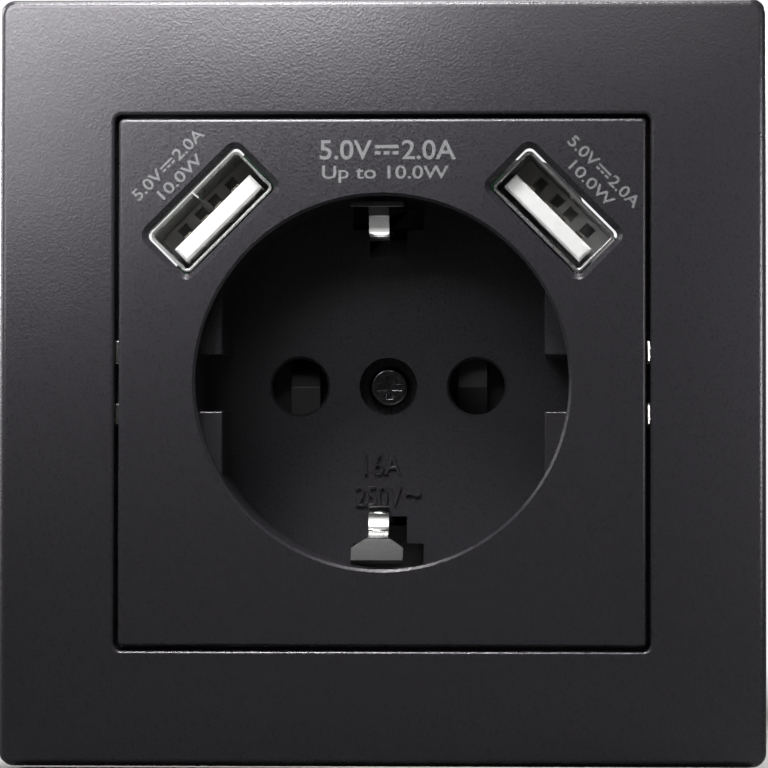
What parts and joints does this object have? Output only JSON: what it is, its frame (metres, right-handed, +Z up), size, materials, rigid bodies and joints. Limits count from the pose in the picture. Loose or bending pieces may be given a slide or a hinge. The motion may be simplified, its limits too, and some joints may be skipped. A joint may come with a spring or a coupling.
{
  "type": "usb wall socket",
  "caption": "Flush wall socket with a square frame, an earthed round plug well with a rotary safety shutter, slanted usb charging ports above it and spreading claws behind the bracket.",
  "frame": {"origin": "middle of the wall plane, on the plug axis, at the centre of the box screw pattern", "axes": "+Z up the wall, +Y into the wall, +X to the right as seen by the user; the face looks along -Y"},
  "size_m": [0.08, 0.0416, 0.08],
  "materials": {
    "frame_plastic": "fine grained matt anthracite",
    "plate_plastic": "fine grained matt anthracite",
    "base_plastic": "plain moulded grey",
    "shutter_plastic": "smooth moulded dark grey",
    "plated_steel": "zinc plated",
    "screw_steel": "zinc plated",
    "spring_steel": "bright wire",
    "earth_metal": "nickel plated, bright",
    "contact_brass": "plain",
    "shell_metal": "nickel plated, bright",
    "port_plastic": "smooth white",
    "port_contact": "gold plated",
    "board": "green lacquer",
    "ferrite": "dull dark grey",
    "coil_tape": "yellow tape",
    "capacitor_can": "sleeved",
    "chip_plastic": "black moulding",
    "fuse_coat": "lacquered ceramic"
  },
  "bodies": {
    "socket": {"cover_frame": "frame_plastic", "centre_plate": "plate_plastic", "centre_screw": "screw_steel", "support_bracket": "plated_steel", "bracket_rivets": "screw_steel", "claw_pins": "screw_steel", "claw_screws": "screw_steel", "base_housing": "base_plastic", "rear_cover": "base_plastic", "cover_screws": "screw_steel", "screw_insert": "contact_brass", "shutter_spring": "spring_steel", "line_contact": "contact_brass", "neutral_contact": "contact_brass", "earth_strip": "earth_metal", "line_terminal": "contact_brass", "neutral_terminal": "contact_brass", "earth_terminal": "contact_brass", "terminal_screws": "screw_steel", "usb_board": "board", "link_pins": "port_contact", "usb_shell_left": "shell_metal", "usb_shell_right": "shell_metal", "usb_insulator_left": "port_plastic", "usb_insulator_right": "port_plastic", "usb_contacts_left": "port_contact", "usb_contacts_right": "port_contact", "charger_board": "board", "transformer_core": "ferrite", "transformer_coil": "coil_tape", "input_capacitor": "capacitor_can", "output_capacitor": "capacitor_can", "fuse_resistor": "fuse_coat", "board_chips": "chip_plastic"},
    "shutter": {"safety_shutter": "shutter_plastic"},
    "left_claw": {"claw_left": "plated_steel"},
    "right_claw": {"claw_right": "plated_steel"}
  },
  "joints": [
    {"name": "shutter_turn", "type": "hinge", "parent": "socket", "child": "shutter", "pos_m": [0, 0.0118, 0], "axis": [0, -1, 0], "range_deg": [0, 40], "stiffness_Nm_per_rad": 0.004, "springref_deg": -17.19, "deforming": ["shutter_spring"]},
    {"name": "claw_left_swing", "type": "hinge", "parent": "socket", "child": "left_claw", "pos_m": [-0.0237, 0.006, -0.0072], "axis": [0, 0, 1], "range_deg": [0, 22]},
    {"name": "claw_right_swing", "type": "hinge", "parent": "socket", "child": "right_claw", "pos_m": [0.0237, 0.006, -0.0072], "axis": [0, 0, -1], "range_deg": [0, 22]}
  ]
}
